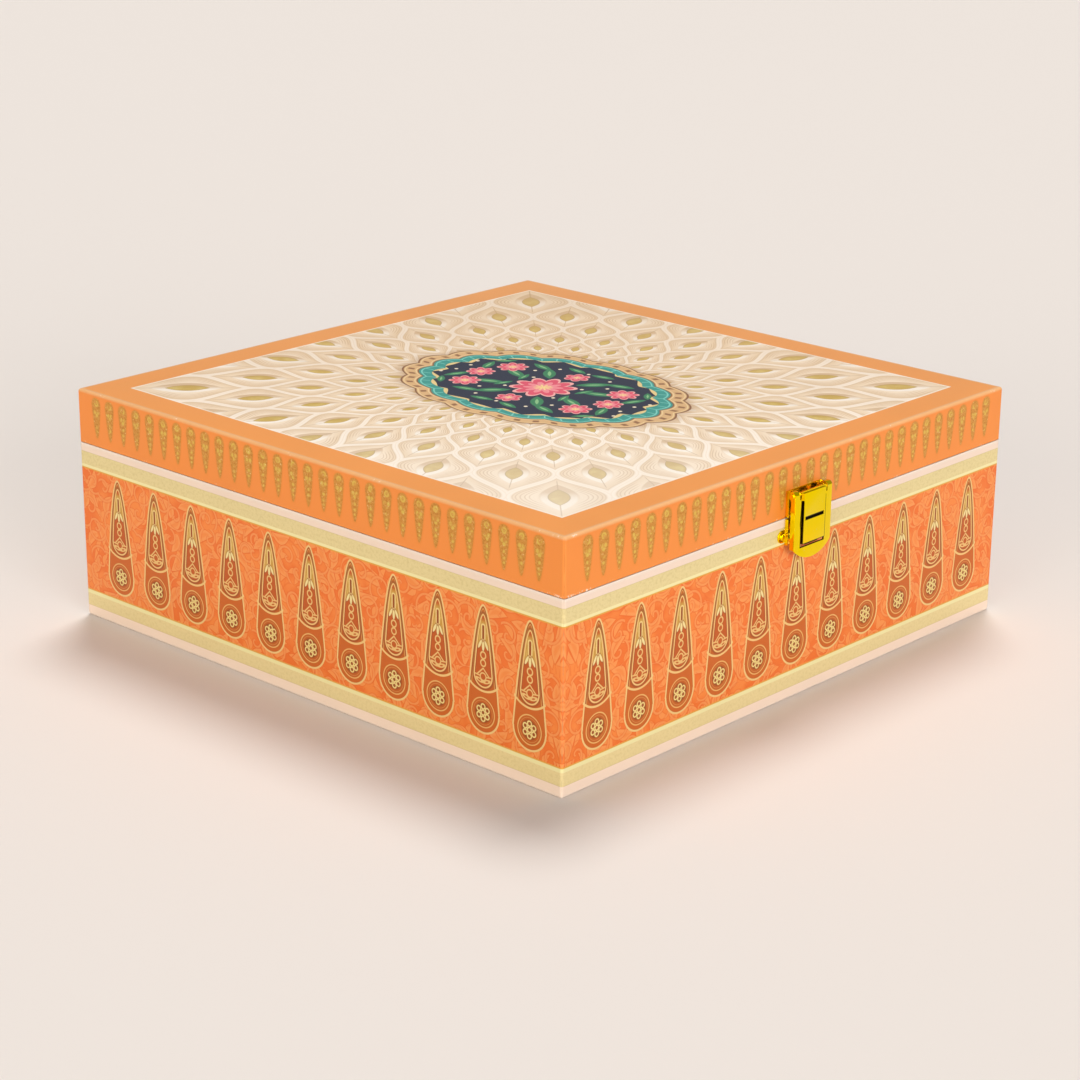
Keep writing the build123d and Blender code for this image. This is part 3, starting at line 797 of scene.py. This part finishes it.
sheet_edge = abs(x).most(abs(y))
print_top.lay(ink("FFF0DC"), shape(sheet_edge - sheet_half + 1.0, 0.3), 0.7)
print_top.lay(ink("D9A878"), shape(sheet_edge - sheet_half + 0.2, 0.2), 0.5)
finish_paper(tree, shader, print_top, 0.42, gloss=0.35)
cover(["lid_top_sheet"], top_print)


# Hinges. Two butt hinges of pressed steel, plated and lacquered gold, with rounded edges.
# Round-headed nails of the same finish go through the paper into the back boards.
def lacquered_metal():
    """Bright plated metal under lacquer: finger smears, fine scratches and dulled spots."""
    group, enter, leave = group_of("Lacquered metal", [
        ("Lacquer", "NodeSocketColor", (1, 0.7, 0.1, 1)),
        ("Worn", "NodeSocketColor", (0.5, 0.42, 0.3, 1)),
        ("Roughness", "NodeSocketFloat", 0.15),
    ], surface_results)
    x, y, z = placed(group)
    smears = cloud(group, point(x, y, z), 0.22, 3.0, 0.6)
    scratches = rise(cloud(group, point(x * 0.6, y, z * 5.0), 1.6, 3.0, 0.6), 0.60, 0.68)
    spots = rise(cloud(group, point(x, y, z), 0.75, 5.0, 0.7), 0.66, 0.74)
    metal = Inks(group, enter.outputs["Lacquer"]).lay(enter.outputs["Worn"], spots, 0.45)
    group.links.new(metal.colour, leave.inputs["Colour"])
    rough = Varying(group, enter.outputs["Roughness"])
    rough = rough + smears * 0.10 + scratches * 0.06 + spots * 0.2 - 0.05
    group.links.new(rough.socket, leave.inputs["Roughness"])
    group.links.new((smears * 0.4 - scratches * 0.3).socket, leave.inputs["Height"])
    return group


lacquered_metal_group = lacquered_metal()


def gold_finish(name, lacquer, roughness):
    """A material of this lacquered metal, its tree, its shader and the metal's colour."""
    material, tree, shader = plain_material(name, lacquer, roughness)
    shader.inputs["Metallic"].default_value = 1.0
    metal = placed_group(tree, lacquered_metal_group, Lacquer=(*lacquer, 1), Roughness=roughness)
    join_surface(tree, shader, metal, 0.25, 0.02)
    return material, tree, shader, metal.outputs["Colour"]


def pressed(node, body, finish, material, edge_width, broad=None, broad_width=0.0):
    """A copy of a pressed piece with rounded edges, which stands for its CAD node.

    broad picks the edges that get a wide rounding before the small one."""
    bm = bmesh.new()
    bm.from_mesh(nodes[node].data)
    bmesh.ops.remove_doubles(bm, verts=bm.verts, dist=0.002 * mm)
    bmesh.ops.dissolve_limit(bm, angle_limit=math.radians(1), verts=bm.verts, edges=bm.edges)
    if broad:
        bmesh.ops.bevel(
            bm, geom=[edge for edge in bm.edges if broad(edge)], offset=broad_width * mm,
            offset_type="OFFSET", segments=4, profile=0.5, affect="EDGES", clamp_overlap=True,
            material=-1,
        )
    for face in bm.faces:
        face.smooth = True
    piece = settle(bm, f"{node}_pressed", material)
    rounding = piece.modifiers.new("rounded edges", "BEVEL")
    rounding.width = edge_width * mm
    rounding.segments = 3
    rounding.limit_method = "ANGLE"
    rounding.angle_limit = math.radians(40)
    rounding.harden_normals = True
    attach(piece, body)
    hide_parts(node)


def domed_nails(node, body, finish, material, outward, spots):
    """Domed nails in the place of a group of plain ones. outward is 1 for the back."""
    radius, head_radius, head_rim, head_height, length = 0.6, 1.4, 0.12, 0.7, 3.2
    profile = [(0.0, -length), (radius, radius - length), (radius, 0.0), (head_radius, 0.0)]
    for degrees in range(0, 91, 15):
        angle = math.radians(degrees)
        height = head_rim + (head_height - head_rim) * math.sin(angle)
        profile.append((head_radius * math.cos(angle), height))
    bm = bmesh.new()
    verts = [bm.verts.new((across * mm, 0, high * mm)) for across, high in profile]
    lines = [bm.edges.new(pair) for pair in zip(verts, verts[1:])]
    bmesh.ops.spin(
        bm, geom=verts + lines, cent=(0, 0, 0), axis=(0, 0, 1), dvec=(0, 0, 0),
        angle=2 * math.pi, steps=24, use_merge=True,
    )
    bmesh.ops.remove_doubles(bm, verts=bm.verts, dist=0.002 * mm)
    bmesh.ops.recalc_face_normals(bm, faces=bm.faces)
    turned = Matrix.Rotation(math.radians(-90 * outward), 3, "X")
    bmesh.ops.rotate(bm, verts=bm.verts, cent=(0, 0, 0), matrix=turned)
    pattern = bm.verts[:] + bm.edges[:] + bm.faces[:]
    for spot in spots:
        copied = bmesh.ops.duplicate(bm, geom=pattern)["geom"]
        corners = [part for part in copied if isinstance(part, bmesh.types.BMVert)]
        bmesh.ops.translate(bm, verts=corners, vec=Vector(spot) * mm)
    first = [part for part in pattern if isinstance(part, bmesh.types.BMVert)]
    bmesh.ops.delete(bm, geom=first, context="VERTS")
    for face in bm.faces:
        face.smooth = True
    piece = settle(bm, f"{node}_domed", material)
    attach(piece, body)
    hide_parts(node)


seam_z = 78.6
hinge_place, hinge_nail_spread, hinge_nail_height = 75.0, 14.0, 9.0
leaf_face_y, hinge_edge = 140.5, 0.18

hinge_metal, _, _, _ = gold_finish("hinge_metal", ink("F0C22C"), 0.20)
for side in ("left", "right"):
    pressed(f"hinge_base_leaf_{side}", "base", "hinge_metal", hinge_metal, hinge_edge)
    pressed(f"hinge_lid_leaf_{side}", "lid", "hinge_metal", hinge_metal, hinge_edge)
    pressed(f"hinge_pin_{side}", "base", "hinge_metal", hinge_metal, hinge_edge)
for body, from_seam in (("base", -hinge_nail_height), ("lid", hinge_nail_height)):
    spots = [
        (centre + shift, leaf_face_y, seam_z + from_seam)
        for centre in (-hinge_place, hinge_place)
        for shift in (-hinge_nail_spread / 2, hinge_nail_spread / 2)
    ]
    domed_nails(f"hinge_{body}_nails", body, "hinge_metal", hinge_metal, 1, spots)


# Latch. A small hasp of the same plated steel, polished brighter: a channel plate with
# ears on the lid, one with a tongue on the base, and the flap with its raised panel. In the
# panel's hollow a dark strip behind the middle slot stands for the shade seen through it.
plate_face_y, lid_nail_x, lid_nail_z = -140.3, 5.0, 84.0
catch_nail_x, catch_nail_z = 13.0, 71.3
flap_half, flap_face_y, flap_back_y = 11.8, -145.1, -144.3
flap_side_top, flap_side_foot, broad_edge, pressed_edge, pin_edge = 88.5, 66.4, 0.55, 0.12, 0.15
middle_slot_half, middle_slot_tall, cut_rim = 5.7, 0.55, 0.25
slit_in, slit_out, slit_foot, slit_head, catch_slot_top = 7.1, 7.6, 66.7, 86.0, 68.2
strip_half, strip_tall, strip_face_y, strip_sheet, strip_corner = 6.4, 1.5, -145.3, 0.3, 0.5

# Painted shade: the metal is dark in the flap's slot and slits, and on a narrow rim round them,
# where shade falls
latch_metal, tree, shader, lacquered = gold_finish("latch_metal", ink("FFE000"), 0.12)
x, y, z = placed(tree)
wide = abs(x)
middle_cut = shape(middle_slot_half + cut_rim - wide)
middle_cut = middle_cut * shape(middle_slot_tall + cut_rim - abs(z - seam_z))
slit_cut = band(wide, slit_in - cut_rim, slit_out + cut_rim)
slit_cut = slit_cut * band(z, slit_foot - cut_rim, slit_head)
catch_cut = shape(slit_out - wide) * band(z, slit_foot - cut_rim, catch_slot_top + cut_rim)
cut = middle_cut.most(slit_cut).most(catch_cut) * (flap_back_y - y).above(0.0)
shaded_slots = Inks(tree, lacquered).lay(ink("1E1404"), cut, 0.92)
tree.links.new(shaded_slots.colour, shader.inputs["Base Color"])


def flap_outline(edge):
    """The front edges down the flap's two sides and round its foot."""
    ends = [vert.co / mm for vert in edge.verts]
    on_front = all(abs(end.y - flap_face_y) < 0.01 for end in ends)
    on_side = all(abs(abs(end.x) - flap_half) < 0.01 for end in ends)
    on_side = on_side and all(end.z < flap_side_top + 0.01 for end in ends)
    on_foot = all(end.z < flap_side_foot + 0.3 for end in ends)
    on_foot = on_foot and max(abs(end.x) for end in ends) > 0.1
    return on_front and (on_side or on_foot)


def slot_shade_strip(material):
    """A dark strip that stands for the shade behind the middle slot: a flat blank with its corners
    rounded, then given its thickness.
    """
    bm = bmesh.new()
    bmesh.ops.create_grid(bm, x_segments=1, y_segments=1, size=1.0)
    bmesh.ops.scale(bm, verts=bm.verts, vec=(strip_half * mm, strip_tall * mm, 1))
    bmesh.ops.bevel(
        bm, geom=bm.verts[:], offset=strip_corner * mm, offset_type="OFFSET", segments=4,
        profile=0.5, affect="VERTICES", material=-1,
    )
    blank = bmesh.ops.extrude_face_region(bm, geom=bm.faces[:])["geom"]
    raised = [part for part in blank if isinstance(part, bmesh.types.BMVert)]
    bmesh.ops.translate(bm, verts=raised, vec=(0, 0, strip_sheet * mm))
    bmesh.ops.recalc_face_normals(bm, faces=bm.faces)
    upright = Matrix.Rotation(math.radians(90), 3, "X")
    place = Vector((0, strip_face_y + strip_sheet, seam_z)) * mm
    bmesh.ops.rotate(bm, verts=bm.verts, cent=(0, 0, 0), matrix=upright)
    bmesh.ops.translate(bm, verts=bm.verts, vec=place)
    piece = settle(bm, "latch_flap_shade_strip", material)
    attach(piece, "latch_flap")


slot_shade_dark, _, _, _ = gold_finish("slot_shade_dark", ink("20160A"), 0.55)
slot_shade_strip(slot_shade_dark)
latch_finish = ("latch_metal", latch_metal)
pressed("latch_lid_plate", "lid", *latch_finish, pressed_edge)
pressed("latch_catch_plate", "base", *latch_finish, pressed_edge)
pressed("latch_pin", "lid", *latch_finish, pin_edge)
pressed("latch_flap", "latch_flap", *latch_finish, pressed_edge, flap_outline, broad_edge)
lid_spots = [(x, plate_face_y, lid_nail_z) for x in (-lid_nail_x, lid_nail_x)]
catch_spots = [(x, plate_face_y, catch_nail_z) for x in (-catch_nail_x, catch_nail_x)]
domed_nails("latch_lid_nails", "lid", *latch_finish, -1, lid_spots)
domed_nails("latch_catch_nails", "base", *latch_finish, -1, catch_spots)
